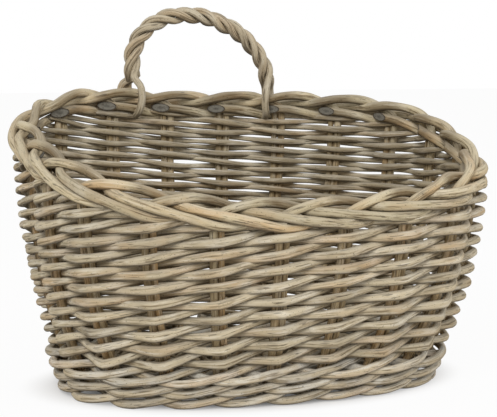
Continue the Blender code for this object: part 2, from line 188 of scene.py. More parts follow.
# how fast the wall falls away beside a stake, where that brings a rod nearer to it
def wallBend(place, height, side):
    along, out = wallFrame(place, height)
    middle = wallPoint(place, height)
    falls = []
    for beside in (-1.0, 1.0):
        way = wallPoint(place + beside, height) - middle
        falls.append(-(way * out).sum(-1) / np.abs((way * along).sum(-1)))
    return np.where(side > 0.0, np.maximum(*falls), -np.minimum(*falls))


# how far out of the wall's middle a rod goes to pass a pair of stakes, each set off to a side by offset
def reachPast(place, height, side, radius, stakeRadius, offset):
    place, height, side = np.broadcast_arrays(np.asarray(place, float), np.asarray(height, float),
                                              np.asarray(side, float))
    apart = radius + stakeRadius
    gap, bend = stakeGap(place, height), wallBend(place, height, side)
    reach = np.full(place.shape, apart)
    for _ in range(wall["reachTries"]):
        slope = np.maximum(2.0 * reach / gap + bend, 0.0)
        reach = apart * np.hypot(1.0, slope) + slope * offset
    return reach


print("wall shape ready")

# A rod as it is drawn: never quite even, with a small swelling where each leaf grew
rodShape = {
    "spacing": 0.0032, "unevenness": 0.045, "longWaves": (0.08, 0.14), "shortWaves": (0.03, 0.05),
    "wander": 0.00022, "wanderWaves": (0.045, 0.08), "knotGaps": (0.05, 0.10), "knotSwell": 0.06,
    "knotLength": 0.0030, "barkStart": 40.0, "fewestSteps": 5,
}


def drawRod(points, thick, thin, seed, cuts=(None, None), **marks):
    random = np.random.default_rng(seed)
    points = np.asarray(points, float)
    run = np.concatenate(([0.0], np.cumsum(np.linalg.norm(np.diff(points, axis=0), axis=1))))
    slope = np.gradient(points, run, axis=0)
    at = np.linspace(0.0, run[-1], max(int(run[-1] / rodShape["spacing"]), rodShape["fewestSteps"]) + 1)
    if cuts[1] is not None:
        at = np.delete(at, -2)
    if cuts[0] is not None:
        at = np.delete(at, 1)
    span = np.clip(np.searchsorted(run, at, side="right") - 1, 0, len(run) - 2)
    length = (run[span + 1] - run[span])[:, None]
    t = (at - run[span])[:, None] / length
    square, cube = t ** 2, t ** 3
    centre = (2.0 * cube - 3.0 * square + 1.0) * points[span]
    centre += (3.0 * square - 2.0 * cube) * points[span + 1]
    centre += (cube - 2.0 * square + t) * length * slope[span]
    centre += (cube - square) * length * slope[span + 1]
    for axis in range(3):
        wave, start = random.uniform(*rodShape["wanderWaves"]), random.uniform(0.0, fullTurn)
        centre[:, axis] += rodShape["wander"] * np.sin(fullTurn * at / wave + start)
    radius = np.interp(at, (0.0, run[-1]), (0.5 * thick, 0.5 * thin))
    for wave in (random.uniform(*rodShape["longWaves"]), random.uniform(*rodShape["shortWaves"])):
        start = random.uniform(0.0, fullTurn)
        radius *= 1.0 + rodShape["unevenness"] * np.sin(fullTurn * at / wave + start)
    knot = np.zeros_like(at)
    spot = random.uniform(0.0, rodShape["knotGaps"][1])
    while spot < run[-1]:
        knot = np.maximum(knot, np.exp(-((at - spot) / rodShape["knotLength"]) ** 2))
        spot += random.uniform(*rodShape["knotGaps"])
    radius *= 1.0 + rodShape["knotSwell"] * knot
    if "swell" in marks:
        radius *= np.interp(at, run, marks.pop("swell"))
    way = unit(np.gradient(centre, axis=0))
    lean = np.zeros_like(centre)
    for end, cut in zip((0, -1), cuts):
        if cut is not None:
            facing = np.asarray(cut, float)
            sign = 1.0 if end else -1.0
            lean[end] = -sign * (facing - way[end] * (facing @ way[end]))
    drawn = {"centre": centre, "way": way, "cutLean": lean, "rodRadius": radius, "knot": knot,
             "rodAlong": at + random.uniform(0.0, rodShape["barkStart"])}
    drawn["rodTone"] = np.full(len(at), random.normal(0.0, 1.0))
    drawn["rodWarm"] = np.full(len(at), random.uniform(0.0, 1.0))
    for name in ("dive", "bleach", "inside", "cutAge"):
        value = marks.get(name, 0.0)
        drawn[name] = np.interp(at, run, value) if np.ndim(value) else np.full(len(at), float(value))
    return drawn


# What the tree is given. All are metres, but for the sides, the seed and how much finer the grain is
# than the ridges.
rodTreeSizes = {
    "Sides": 12, "Ridge depth": 0.00025, "Ridge width": 0.0025, "Ridge length": 0.05,
    "Grain depth": 0.00008, "Grain fineness": 5.0, "Bark radius": 0.003, "Seed": 5,
}


def buildRodTree():
    tree = bpy.data.node_groups.new("willowRod", "GeometryNodeTree")
    tree.interface.new_socket("Way", in_out="INPUT", socket_type="NodeSocketGeometry")
    for name, value in rodTreeSizes.items():
        kind = "NodeSocketInt" if isinstance(value, int) else "NodeSocketFloat"
        tree.interface.new_socket(name, in_out="INPUT", socket_type=kind).default_value = value
    tree.interface.new_socket("Bark", in_out="INPUT", socket_type="NodeSocketMaterial")
    tree.interface.new_socket("Rod", in_out="OUTPUT", socket_type="NodeSocketGeometry")
    given = addNode(tree, "NodeGroupInput").outputs
    drawn = {}
    for name, kind in (("rodRadius", "FLOAT"), ("rodAlong", "FLOAT"), ("ringTurn", "FLOAT"),
                       ("barkPlace", "FLOAT_VECTOR"), ("centre", "FLOAT_VECTOR"), ("way", "FLOAT_VECTOR"),
                       ("cutLean", "FLOAT_VECTOR")):
        attribute = addNode(tree, "GeometryNodeInputNamedAttribute", {"Name": name}, data_type=kind)
        drawn[name] = attribute.outputs["Attribute"]

    # a ring of the rod's radius is swept along its way, and every point keeps its place round the ring
    curve = addNode(tree, "GeometryNodeMeshToCurve", {"Mesh": given["Way"]})
    ring = addNode(tree, "GeometryNodeCurvePrimitiveCircle", {"Resolution": given["Sides"], "Radius": 1.0})
    share = addNode(tree, "GeometryNodeSplineParameter").outputs["Factor"]
    ring = addNode(tree, "GeometryNodeStoreNamedAttribute",
                   {"Geometry": ring, "Name": "ringTurn", "Value": share}, data_type="FLOAT", domain="POINT")
    swept = addNode(tree, "GeometryNodeCurveToMesh",
                    {"Curve": curve, "Profile Curve": ring, "Scale": drawn["rodRadius"], "Fill Caps": True})

    # marks that the bark's material reads: the place on the bark, the cut faces, and what faces the sky (for
    # painted light and shade)
    turn = addNode(tree, "ShaderNodeMath", {0: drawn["ringTurn"], 1: fullTurn}, operation="MULTIPLY")
    across = []
    for kind in ("COSINE", "SINE"):
        side = addNode(tree, "ShaderNodeMath", {0: turn}, operation=kind)
        side = addNode(tree, "ShaderNodeMath", {0: side, 1: given["Bark radius"]}, operation="MULTIPLY")
        across.append(side)
    place = addNode(tree, "ShaderNodeCombineXYZ", {"X": across[0], "Y": across[1], "Z": drawn["rodAlong"]})
    corners = addNode(tree, "GeometryNodeCornersOfFace").outputs["Total"]
    cap = addNode(tree, "FunctionNodeCompare", {"A": corners, "B": 4}, data_type="INT",
                  operation="GREATER_THAN")
    normal = addNode(tree, "GeometryNodeInputNormal")
    facing = addNode(tree, "ShaderNodeSeparateXYZ", {"Vector": normal})
    marked = swept
    for name, value, kind, domain in (("barkPlace", place, "FLOAT_VECTOR", "POINT"),
                                      ("cutFace", cap, "FLOAT", "FACE"),
                                      ("skyward", facing.outputs["Z"], "FLOAT", "POINT")):
        marked = addNode(tree, "GeometryNodeStoreNamedAttribute",
                         {"Geometry": marked, "Name": name, "Value": value}, data_type=kind, domain=domain)

    # long low ridges in the bark, and a finer grain on them
    narrow = addNode(tree, "ShaderNodeMath", {0: 1.0, 1: given["Ridge width"]}, operation="DIVIDE")
    lengthwise = addNode(tree, "ShaderNodeMath", {0: 1.0, 1: given["Ridge length"]}, operation="DIVIDE")
    stretch = addNode(tree, "ShaderNodeCombineXYZ", {"X": narrow, "Y": narrow, "Z": lengthwise})
    ridgePlace = addNode(tree, "ShaderNodeVectorMath", {0: drawn["barkPlace"], 1: stretch},
                         operation="MULTIPLY")
    lift = 0.0
    for fineness, depth in ((1.0, given["Ridge depth"]), (given["Grain fineness"], given["Grain depth"])):
        wave = addNode(tree, "ShaderNodeTexNoise",
                       {"Vector": ridgePlace, "W": given["Seed"], "Scale": fineness, "Detail": 1.0},
                       noise_dimensions="4D")
        wave = addNode(tree, "ShaderNodeMath", {0: wave, 1: 0.5}, operation="SUBTRACT")
        lift = addNode(tree, "ShaderNodeMath", {0: wave, 1: depth, 2: lift}, operation="MULTIPLY_ADD")
    offset = addNode(tree, "ShaderNodeVectorMath", {0: normal, "Scale": lift}, operation="SCALE")
    rough = addNode(tree, "GeometryNodeSetPosition", {"Geometry": marked, "Offset": offset})

    # the slanted cut at an end slides each point of its ring along the rod
    position = addNode(tree, "GeometryNodeInputPosition")
    spoke = addNode(tree, "ShaderNodeVectorMath", {0: position, 1: drawn["centre"]}, operation="SUBTRACT")
    slide = addNode(tree, "ShaderNodeVectorMath", {0: spoke, 1: drawn["cutLean"]}, operation="DOT_PRODUCT")
    offset = addNode(tree, "ShaderNodeVectorMath", {0: drawn["way"], "Scale": slide.outputs["Value"]},
                     operation="SCALE")
    cut = addNode(tree, "GeometryNodeSetPosition", {"Geometry": rough, "Offset": offset})
    smooth = addNode(tree, "GeometryNodeSetShadeSmooth", {"Geometry": cut, "Shade Smooth": True})
    smooth = addNode(tree, "GeometryNodeSetShadeSmooth", {"Geometry": smooth, "Selection": cap,
                                                          "Shade Smooth": False})
    real = addNode(tree, "GeometryNodeRealizeInstances", {"Geometry": smooth})
    done = addNode(tree, "GeometryNodeSetMaterial", {"Geometry": real, "Material": given["Bark"]})
    addNode(tree, "NodeGroupOutput", {"Rod": done})
    return tree


rodTree = buildRodTree()
waiting = []  # rods drawn and not yet turned into meshes


def addPiece(name, drawn, bark, nodes, slot, **inputs):
    starts = np.cumsum([0] + [len(rod["centre"]) for rod in drawn])
    edges = [(point, point + 1) for low, high in zip(starts, starts[1:]) for point in range(low, high - 1)]
    mesh = bpy.data.meshes.new(name)
    mesh.from_pydata(np.concatenate([rod["centre"] for rod in drawn]).tolist(), edges, [])
    for key in drawn[0]:
        values = np.concatenate([rod[key] for rod in drawn])
        kind = "FLOAT_VECTOR" if values.ndim == 2 else "FLOAT"
        made = mesh.attributes.new(key, kind, "POINT")
        made.data.foreach_set("vector" if values.ndim == 2 else "value", values.astype(np.float32).ravel())
    piece = bpy.data.objects.new(name, mesh)
    scene.collection.objects.link(piece)
    modifier = piece.modifiers.new("willowRod", "NODES")
    modifier.node_group = rodTree
    inputs["Bark"] = bark
    for item in rodTree.interface.items_tree:
        if item.name in inputs:
            modifier[item.identifier] = inputs[item.name]
    waiting.append((piece, nodes, slot))


def finishPieces():
    depsgraph = bpy.context.evaluated_depsgraph_get()
    for piece, nodes, slot in waiting:
        made = bpy.data.meshes.new_from_object(piece.evaluated_get(depsgraph), depsgraph=depsgraph,
                                               preserve_all_data_layers=True)
        piece.modifiers.clear()
        piece.data = made
        made.name = piece.name
        for key in ("centre", "way", "cutLean", "rodRadius", "rodAlong", "ringTurn"):
            if key in made.attributes:
                made.attributes.remove(made.attributes[key])
        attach(piece, "root")
        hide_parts(*nodes)


# Streaks in the bark, each as its width and length in metres and its detail. Willow fibres are about
# 0.1 mm wide, and they are drawn as bundles ten times that, so that they show.
barkStreaks = {
    "fibres": (0.0011, 0.022, 3.0), "patches": (0.006, 0.018, 2.0), "stains": (0.0102, 0.0288, 2.0),
    "specks": (0.0009, 0.00144, 1.0), "cracks": (0.0010, 0.012, 1.0), "dirt": (0.0006, 0.0006, 2.0),
}
# Colours laid over the bark in turn: the colour, the streak or mark that it follows and how, from where to
# where, the share that it reaches, and a second mark that it needs
barkLayers = (
    ("bleached", "bleach", "LINEAR", 0.0, 1.0, "bleachShare", None),
    ("light", "patches", "SMOOTHSTEP", 0.48, 0.68, "lightShare", None),
    ("warm", "rodWarm", "SMOOTHSTEP", 0.45, 1.0, "warmShare", "stained"),
    # darker where a rod runs inside the wall: partly less weathered bark, partly painted shade
    ("dark", "inside", "LINEAR", 0.0, 1.0, "insideShare", None),
    ("wash", "stains", "SMOOTHSTEP", 0.42, 0.60, "washShare", "dive"),
    ("dark", "fibres", "SMOOTHSTEP", 0.50, 0.66, "darkShare", None),
    ("light", "fibres", "SMOOTHSTEP", 0.44, 0.32, "lightShare", None),
    ("speck", "cracks", "SMOOTHSTEP", 0.62, 0.68, "crackShare", None),
    ("speck", "specks", "SMOOTHSTEP", 0.62, 0.72, "speckShare", None),
    ("speck", "knot", "LINEAR", 0.0, 1.0, "knotShare", None),
    # painted light on the upper side of each rod, where its surface faces up
    ("light", "skyward", "SMOOTHSTEP", 0.2, 0.9, "paintedTopLightShare", None),
    # painted shade on the underside of each rod, where its surface faces down
    ("grimeAndShade", "skyward", "SMOOTHSTEP", -0.3, -0.95, "paintedUndershadeShare", None),
)
# The same for a cut end: grey wood round a darker pith, with dirt round its edge and in its pores
cutLayers = (
    ("cut", "spoke", "SMOOTHSTEP", 0.0006, 0.0013, "woodShare", None),
    ("grimeAndShade", "spoke", "SMOOTHSTEP", 0.0022, 0.0029, "edgeShare", None),
    ("grimeAndShade", "dirt", "SMOOTHSTEP", 0.5, 0.7, "dirtShare", None),
)


def layColours(tree, colour, layers, marks, finish):
    for name, follows, curve, low, high, most, needs in layers:
        amount = addNode(tree, "ShaderNodeMapRange", {"Value": marks[follows], "From Min": low,
                                                      "From Max": high, "To Max": finish[most]},
                         interpolation_type=curve)
        if needs:
            amount = addNode(tree, "ShaderNodeMath", {0: amount, 1: marks[needs]}, operation="MULTIPLY")
        colour = addNode(tree, "ShaderNodeMix", {0: amount, 6: colour, 7: linear(finish[name])},
                         data_type="RGBA").outputs[2]
    return colour


def willow(name, finish):
    material = bpy.data.materials.new(name)
    material.use_nodes = True
    tree = material.node_tree
    shader = tree.nodes["Principled BSDF"]
    marks = {}
    for key in ("bleach", "rodWarm", "rodTone", "inside", "dive", "knot", "skyward", "cutFace", "cutAge"):
        marks[key] = addNode(tree, "ShaderNodeAttribute", attribute_name=key).outputs["Fac"]
    barkPlace = addNode(tree, "ShaderNodeAttribute", attribute_name="barkPlace").outputs["Vector"]
    for seed, (key, (width, length, detail)) in enumerate(barkStreaks.items(), 1):
        stretch = (1.0 / width, 1.0 / width, 1.0 / length)
        stretched = addNode(tree, "ShaderNodeVectorMath", {0: barkPlace, 1: stretch}, operation="MULTIPLY")
        marks[key] = addNode(tree, "ShaderNodeTexNoise",
                             {"Vector": stretched, "W": float(seed), "Scale": 1.0, "Detail": detail,
                              "Roughness": finish["coarseness"]}, noise_dimensions="4D")
    low, high = finish["stained"]
    marks["stained"] = addNode(tree, "ShaderNodeMapRange",
                               {"Value": marks["stains"], "From Min": low, "From Max": high},
                               interpolation_type="SMOOTHSTEP")
    body = layColours(tree, linear(finish["mid"]), barkLayers, marks, finish)
    tone = addNode(tree, "ShaderNodeMath", {0: marks["rodTone"], 1: finish["toneSpread"], 2: 1.0},
                   operation="MULTIPLY_ADD")
    body = addNode(tree, "ShaderNodeHueSaturation", {"Color": body, "Value": tone})

    # a cut end is coloured by how far a point lies from the rod's middle
    flat = addNode(tree, "ShaderNodeVectorMath", {0: barkPlace, 1: (1.0, 1.0, 0.0)}, operation="MULTIPLY")
    marks["spoke"] = addNode(tree, "ShaderNodeVectorMath", {0: flat}, operation="LENGTH").outputs["Value"]
    wood = layColours(tree, linear(finish["pith"]), cutLayers, marks, finish)
    aged = addNode(tree, "ShaderNodeMath", {0: marks["cutFace"], 1: marks["cutAge"]}, operation="MULTIPLY")
    colour = addNode(tree, "ShaderNodeMix", {0: aged, 6: body, 7: wood}, data_type="RGBA").outputs[2]

    low, high = finish["fibreSpan"]
    least, most = finish["roughness"]
    rough = addNode(tree, "ShaderNodeMapRange",
                    {"Value": marks["fibres"], "From Min": low, "From Max": high, "To Min": least,
                     "To Max": most}, interpolation_type="SMOOTHSTEP")
    fibreHeight, patchHeight = finish["bumpHeights"]
    height = addNode(tree, "ShaderNodeMath", {0: marks["patches"], 1: patchHeight}, operation="MULTIPLY")
    height = addNode(tree, "ShaderNodeMath", {0: marks["fibres"], 1: fibreHeight, 2: height},
                     operation="MULTIPLY_ADD")
    bump = addNode(tree, "ShaderNodeBump", {"Height": height, "Strength": finish["bump"],
                                            "Distance": finish["bumpDepth"]})
    tree.links.new(colour, shader.inputs["Base Color"])
    tree.links.new(rough.outputs[0], shader.inputs["Roughness"])
    tree.links.new(bump.outputs[0], shader.inputs["Normal"])
    shader.inputs["IOR"].default_value = finish["ior"]
    shader.inputs["Specular IOR Level"].default_value = finish["specular"]
    return material


# Willow bark weathered outdoors: dry and matt, streaked and cracked along the rod, with painted light on its
# upper side and painted shade below
greyWillow = {
    "mid": "#C0B295", "bleached": "#CABFA7", "light": "#DDD5C3", "dark": "#7A6A50", "warm": "#BF9A6A",
    "wash": "#CFCDC6", "speck": "#463B2D", "grimeAndShade": "#372D21", "cut": "#7C786E", "pith": "#646158",
    "bleachShare": 1.0, "lightShare": 0.60, "warmShare": 0.55, "insideShare": 0.45, "washShare": 0.12,
    "darkShare": 0.85, "crackShare": 0.70, "speckShare": 0.60, "knotShare": 0.15, "paintedTopLightShare": 0.30,
    "paintedUndershadeShare": 0.75, "woodShare": 1.0, "edgeShare": 1.0, "dirtShare": 0.7, "stained": (0.35, 0.65),
    "coarseness": 0.55, "toneSpread": 0.08, "fibreSpan": (0.3, 0.7), "roughness": (0.72, 0.86), "bump": 0.6,
    "bumpHeights": (0.7, 0.3), "bumpDepth": 0.0006, "ior": 1.45, "specular": 0.35,
}
# Bark that the weave and the border have sheltered: it has kept its tan, and is darker on the inside of the
# wall, partly as less weathered bark and partly as painted shade
stakeWillow = dict(greyWillow, mid="#A8916B", bleached="#C3B595", light="#D6CCB6", dark="#6A573B",
                   warm="#B58A54", insideShare=0.70, lightShare=0.45)
# Bark near the ground: rain has washed it pale where the rods dive behind one another
waleWillow = dict(greyWillow, mid="#BCAB8C", light="#DAD6CA", warm="#B98E5B", washShare=0.7)
# Bark twisted round the loop and handled there: a little darker and more of one tone
loopWillow = dict(greyWillow, mid="#B3A386", light="#D3C9B4", dark="#6A5A45", toneSpread=0.05)
# Bark in the shade of the base: dull, with little bleaching
baseWillow = dict(greyWillow, mid="#A39378", light="#C4B99F", insideShare=0.2)

weaverBark = willow("weathered_grey_willow", greyWillow)
stakeBark = willow("weathered_tan_willow", stakeWillow)
waleBark = willow("rain_washed_willow", waleWillow)
loopBark = willow("twisted_willow", loopWillow)
baseBark = willow("shaded_willow", baseWillow)
print("willow finishes ready")

# Border: each stake is laid behind one, before two and behind one, sloping down as it goes.
# A way is listed as places past the stake, sideways reaches as shares and drops in rod spacings.
border = {
    "spacing": 0.0065, "stakeRadius": 0.0031, "rodRadius": 0.0031, "pairOffset": 0.0025, "depth": 2.96,
    "slopeSpan": 0.1,
}
stakes = {
    "thick": 0.0061, "thin": 0.0058, "byeThick": 0.0054, "byeThin": 0.0050, "pair": 0.0027, "insert": 0.018,
    "turn": 0.0034, "topDrop": 1.15, "bend": 2.75, "borderSwell": 1.25, "cutPlace": 4.2, "cutSlope": 2.0,
    "levels": (0.12, 0.26, 0.42, 0.60, 0.80), "byeLevels": (0.04, 0.12, 0.26, 0.42, 0.60, 0.80, 0.98),
    "route": ((0.01, 0.00, 2.15), (0.12, 0.05, 1.60), (0.30, 0.15, 0.98), (0.50, 0.08, 0.54),
              (0.70, -0.35, 0.34), (0.90, -0.82, 0.36), (1.08, -1.00, 0.50), (1.30, -0.95, 0.90),
              (1.50, -0.10, 1.30), (1.74, 0.75, 1.42), (2.08, 1.03, 1.74), (2.46, 1.08, 2.18),
              (2.80, 1.04, 2.62), (3.10, 0.86, 2.92), (3.35, 0.20, 2.84), (3.60, -0.50, 2.48),
              (3.90, -1.00, 2.16), (4.22, -1.08, 2.08)),
}
base = {
    "level": 0.010024, "stick": 0.0060, "clearance": 0.0003, "crossLength": 0.075, "crossWidth": 0.0185,
    "weaver": 0.0036, "weaverGrowth": 1.05, "rounds": 8, "edgeGap": 0.0035, "lift": 0.0054, "grouped": 3,
}


# the height so many rod spacings under the border's top, measured square to its slope
def borderHeight(place, drop):
    span = border["slopeSpan"]
    rise = rimHeight(place + span) - rimHeight(place - span)
    slope = rise / (2.0 * span * stakeGap(place, wall["frontHeight"]))
    return rimHeight(place) - drop * border["spacing"] * np.hypot(1.0, slope)


def borderReach(place):
    return reachPast(place, rimHeight(place), 1.0, border["rodRadius"], border["stakeRadius"], 0.0)


def stakeLevel(place, share):
    knee = base["level"] + stakes["turn"]
    return knee + (borderHeight(place, stakes["topDrop"]) - knee) * share


def onBase(point, height=base["level"]):
    return np.array([point[0], point[1], height])


# where the stick of a stake leaves the crossed middle of the base
def slathAnchor(place):
    at = ringAt(footRing, place, foot["start"])
    middle = shift[1] - foot["setback"] + 0.5 * (foot["backDepth"] - foot["frontDepth"])
    halfDepth = 0.5 * (foot["backDepth"] + foot["frontDepth"])
    return np.array([shift[0] + (at[0] - shift[0]) * base["crossLength"] / foot["halfWidth"],
                     middle + (at[1] - middle) * base["crossWidth"] / halfDepth])


# where a base stick ends beside its stake, and the ways inwards and aside
def stickLine(place):
    at = ringAt(footRing, place, foot["start"])
    anchor = slathAnchor(place)
    inward = unit(anchor - at)
    side = np.array([inward[1], -inward[0]])
    beside = 0.5 * (base["stick"] + stakes["thick"]) + base["clearance"] - stakes["pair"]
    end = at + inward * (base["stick"] + stakes["turn"]) + side * beside
    inward = unit(anchor - end)
    return end, inward, np.array([inward[1], -inward[0]])


def stakeRod(index):
    end, inward, side = stickLine(index)
    beside = -(0.5 * (base["stick"] + stakes["thick"]) + base["clearance"])
    points = [onBase(end + inward * stakes["insert"] + side * beside)]
    turned = np.append(inward * stakes["turn"], 0.0)
    points.append(onWall(index, base["level"], 0.0, -stakes["pair"]) + turned)
    points.append(onWall(index, base["level"] + stakes["turn"], 0.0, -stakes["pair"]))
    points += [onWall(index, stakeLevel(index, share), 0.0, -stakes["pair"]) for share in stakes["levels"]]
    start = index - stakes["pair"] / stakeGap(index, rimHeight(index))
    upright = len(points)
    points.append(onWall(start, borderHeight(start, stakes["bend"])))
    for share, side, drop in stakes["route"]:
        there = start + share
        points.append(onWall(there, borderHeight(there, drop), side * borderReach(there)))
    bleach = np.concatenate([np.linspace(0.0, 0.5, upright), np.full(len(points) - upright, 1.0)])
    laidInside = [1.0 if side < -0.5 else 0.0 for _, side, _ in stakes["route"]]
    inside = np.concatenate([np.zeros(upright + 1), laidInside])
    swell = np.where(np.arange(len(points)) > upright, stakes["borderSwell"], 1.0)
    cutPlace = start + stakes["cutPlace"]
    cut = -wallFrame(cutPlace, rimHeight(cutPlace))[1] * stakes["cutSlope"]
    return drawRod(points, stakes["thick"], stakes["thin"], 100 + index, (None, cut),
                   bleach=bleach, inside=inside, swell=swell, cutAge=1.0)


for index in range(wall["stakes"]):
    node = f"stake_{index + 1:02d}"
    addPiece(node + "_rod", [stakeRod(index)], stakeBark, [node], "stake_willow")
    points = [onWall(index, stakeLevel(index, share), 0.0, stakes["pair"]) for share in stakes["byeLevels"]]
    bye = drawRod(points, stakes["byeThick"], stakes["byeThin"], 200 + index, bleach=0.2)
    addPiece(f"bye_stake_{index + 1:02d}", [bye], stakeBark, [node], "stake_willow")
print("stakes and border drawn")

# Waling: three rods in each round, each behind one stake and before two, beaten down close
wale = {
    "thick": 0.0064, "thinShare": 0.92, "spacing": 0.00440, "lowest": 0.0056, "top": 0.0289, "rounds": 3,
    "rods": 3, "roundRise": 2.0, "start": 0.08, "ends": (20.6, 20.6, 17.7), "insideRises": (-0.5, 1.2, 1.1),
    "wobble": 0.0003,
    "stroke": ((0.0, -1.0, 0.0), (0.5, -0.15, 0.4), (1.0, 1.0, 0.5), (2.0, 1.0, 1.5), (2.5, 0.0, 1.47)),
}


def waleRod(rod, level):
    seed = 300 + 10 * level + rod
    random = np.random.default_rng(seed)
    points, dive, inside = [], [], []
    stroke = 0
    while True:
        for share, side, rise in wale["stroke"]:
            place = max(wale["rods"] * stroke + share, wale["start"])
            if place > wale["ends"][rod]:
                return drawRod(points, wale["thick"], wale["thick"] * wale["thinShare"], seed,
                               dive=np.array(dive), inside=np.array(inside), bleach=0.3, cutAge=0.4)
            if share == 0.0:
                rise = wale["insideRises"][level]
            height = wale["lowest"] + (level * wale["roundRise"] + rise) * wale["spacing"]
            height += wale["wobble"] * random.uniform(-1.0, 1.0)
            reach = reachPast(rod + place, height, side, 0.5 * wale["thick"], border["stakeRadius"],
                              border["pairOffset"])
            points.append(onWall(rod + place, height, side * (reach if side else 0.0)))
            dive.append(1.0 if abs(side) < 0.5 else 0.3)
            inside.append(1.0 if side < -0.5 else 0.0)
        stroke += 1


# the photograph shows three rounds, which together replace the two rounds of the frame
waleNodes = [f"wale_{level}_rod_{rod}" for level in (1, 2) for rod in (1, 2, 3)]
for level in range(wale["rounds"]):
    for rod in range(wale["rods"]):
        name = f"wale_{level + 1}_rod_{rod + 1}_willow"
        addPiece(name, [waleRod(rod, level)], waleBark, waleNodes, "wale_willow")
print("waling drawn")

# French randing: a weaver starts at every stake and goes before one, behind one, half a row up at each.
# Half a row is lower at the back, where the willow is thinner. A weaver stops where it meets the border,
# and one that comes out of it again further on is drawn as two.
rand = {
    "frontPitch": 0.00572, "backPitch": 0.00415, "evenness": 1.5, "lift": 0.0042, "firstRow": 0.95,
    "start": -1.35, "over": 1.3, "shortest": 1.5, "samples": 14, "straightness": 0.75, "fill": 1.0,
    "press": 0.26, "taper": 0.5, "tip": 0.5, "squeeze": 0.25, "thickSpread": 0.06, "wobble": 0.00048,
    "wobbleWaves": (1.7, 2.9, 4.3), "levelling": 0.8, "levelSteps": 9.0, "diveFade": (1.5, 2.4),
}


# the height of half a row
def randPitch(place):
    facing = np.cos(fullTurn * (place + rim["start"]) / wall["stakes"])
    back = 0.5 + 0.5 * np.tanh(rand["evenness"] * facing) / math.tanh(rand["evenness"])
    return rand["frontPitch"] + (rand["backPitch"] - rand["frontPitch"]) * back


def randHeight(place, step):
    return wale["top"] + rand["lift"] + randPitch(place) * (step + rand["firstRow"])


# the steps in which a weaver lies between the waling and the border
def weaverSpans(first):
    step = np.arange(rand["start"], 2.0 * wall["stakes"] + 2.0, 1.0 / rand["samples"])
    place = first + step
    top = borderHeight(place, border["depth"]) - border["stakeRadius"] + rand["over"] * randPitch(place)
    kept = (randHeight(place, step) < top).astype(int)
    changes = np.flatnonzero(np.diff(np.concatenate(([0], kept, [0]))))
    shortest = rand["shortest"] * rand["samples"]
    return [step[low:high] for low, high in changes.reshape(-1, 2) if high - low > shortest]


def weaverRod(number, first, step):
    place = first + step
    pitch = randPitch(place)
    height = randHeight(place, step)
    random = np.random.default_rng(500 + number)
    for wave in rand["wobbleWaves"]:
        height = height + rand["wobble"] * np.sin(fullTurn * (step / wave + random.uniform()))
    swing = np.cos(math.pi * step)
    straight = 1.0 - 2.0 * np.arccos(swing) / math.pi
    side = rand["straightness"] * straight + (1.0 - rand["straightness"]) * swing
    stops = np.arange(math.floor(step[0]) - 1, math.ceil(step[-1]) + 2)
    stopSide = np.where(stops % 2 == 0, 1.0, -1.0)
    stopPlace = first + stops
    reach = reachPast(stopPlace, randHeight(stopPlace, stops), stopSide, 0.5 * randPitch(stopPlace),
                      border["stakeRadius"], border["pairOffset"])
    ends = np.clip(np.minimum(step - step[0], step[-1] - step) / rand["taper"], 0.0, 1.0)
    swell = pitch * (rand["fill"] + rand["press"] * swing ** 2) * (rand["tip"] + (1.0 - rand["tip"]) * ends)
    swell *= 1.0 + rand["thickSpread"] * random.normal()
    above = (height - borderHeight(place, border["depth"]) + border["stakeRadius"]) / pitch
    out = side * np.interp(step, stops, reach) * (1.0 - rand["squeeze"] * np.clip(above + 0.5, 0.0, 1.0))
    # higher up the rows are beaten level, so a rod no longer swings square to the leaning wall
    levelled = rand["levelling"] * np.clip(step / rand["levelSteps"], 0.0, 1.0)
    height = height - wallFrame(place, height)[1][:, 2] * out * levelled
    fadeStart, fade = rand["diveFade"]
    return drawRod(onWall(place, height, out), 1.0, 1.0, 500 + number, swell=swell, cutAge=0.3,
                   dive=np.clip(fadeStart - fade * np.abs(swing), 0.0, 1.0),
                   inside=np.clip(-2.0 * swing, 0.0, 1.0))


weaverNodes = [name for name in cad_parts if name.startswith("rand_weaver")]
number = 0
for first in range(wall["stakes"]):
    for step in weaverSpans(first):
        number += 1
        name = f"rand_weaver_{number:02d}_willow"
        addPiece(name, [weaverRod(number, first, step)], weaverBark, weaverNodes, "weaver_willow")
print("randing drawn:", number, "weavers")


# Base: seven short sticks across three long ones, opened out to the stakes and woven outwards
def stickRod(start, end):
    ends = [stickLine(start)[0], slathAnchor(start), slathAnchor(end), stickLine(end)[0]]
    points = []
    for low, high in zip(ends, ends[1:]):
        points += [onBase(low + (high - low) * share) for share in (0.0, 0.25, 0.5, 0.75)]
    points.append(onBase(ends[-1]))
    return drawRod(points, base["stick"], base["stick"], 700 + int(start))


# over and under the sticks by turns; the first rounds take the three long sticks as one
def baseWeaver(strand):
    points = []
    for step in range(base["rounds"] * wall["stakes"] + 1):
        share = (2.0 * step / wall["stakes"] + strand) / (2.0 * base["rounds"] + 1.0)
        middleStick = step % (wall["stakes"] // 2) == wall["stakes"] // 4
        together = middleStick and step < base["grouped"] * wall["stakes"]
        over = (step + strand + (1 if together else 0)) % 2 == 0
        anchor, at = slathAnchor(step), ringAt(footRing, step, foot["start"])
        inward = unit(anchor - at)
        edge, start = at + inward * base["edgeGap"], anchor - inward * base["weaver"]
        lift = base["lift"] if over else -base["lift"]
        points.append(onBase(start + (edge - start) * share, base["level"] + lift))
    return drawRod(points, base["weaver"], base["weaver"] * base["weaverGrowth"], 720 + strand, inside=0.4)


sticks = [stickRod(place, wall["stakes"] // 2 - place) for place in range(-3, 4)]
sticks += [stickRod(4 + row, wall["stakes"] - 4 - row) for row in range(3)]
addPiece("base_sticks", sticks, baseBark, ["base_slath"], "base_willow")
for strand in range(2):
    node = f"base_weaver_{strand + 1}"
    addPiece(node + "_willow", [baseWeaver(strand)], baseBark, [node], "base_willow", Sides=8)
print("base drawn")

